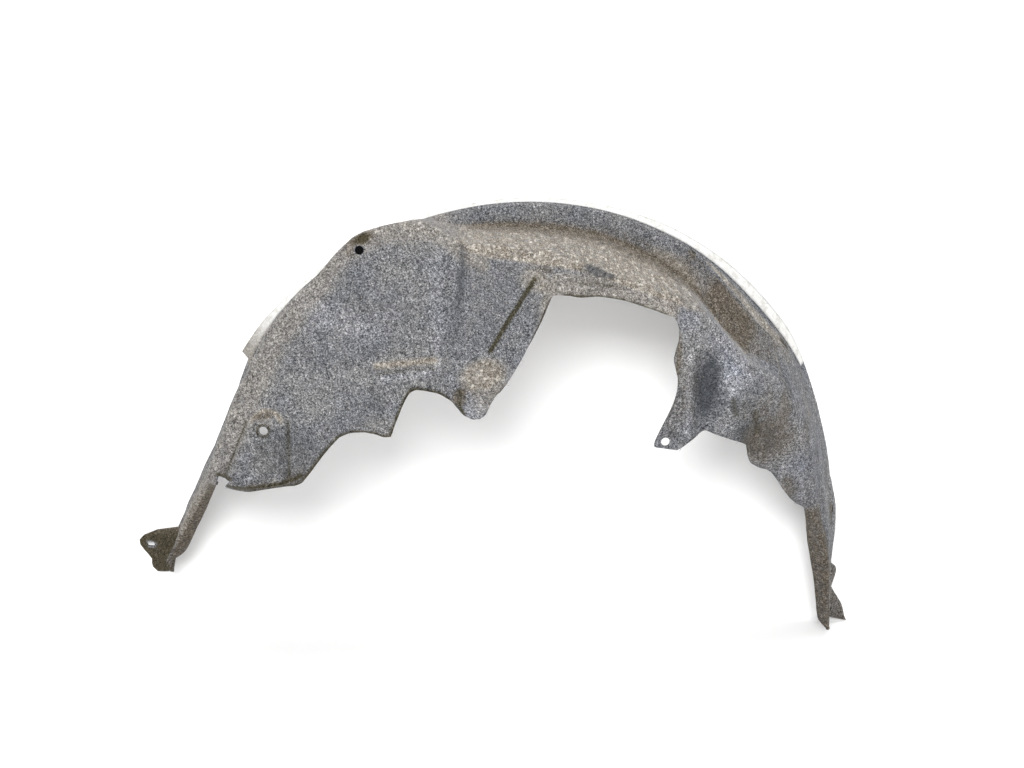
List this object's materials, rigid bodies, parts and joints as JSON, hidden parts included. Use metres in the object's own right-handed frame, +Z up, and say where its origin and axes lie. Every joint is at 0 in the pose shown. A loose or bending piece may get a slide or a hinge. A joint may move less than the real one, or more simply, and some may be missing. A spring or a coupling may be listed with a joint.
{
  "type": "wheel arch liner",
  "caption": "Felt liner pressed in one piece to line a car's wheel arch, with a deep inner panel, a strut cut-out, two narrow legs and screw holes.",
  "frame": {"origin": "on the wheel's axis, in the plane of the fender lip, at the centre of the arch's circle", "axes": "+X along the car towards the leg that has no slotted tab, +Y outwards along the wheel's axis, away from the car's body, +Z up"},
  "size_m": [0.7597, 0.2289, 0.4566],
  "materials": {
    "felt": "matte needle-punched felt, dusty"
  },
  "bodies": {
    "root": {"liner": "felt"}
  },
  "joints": []
}
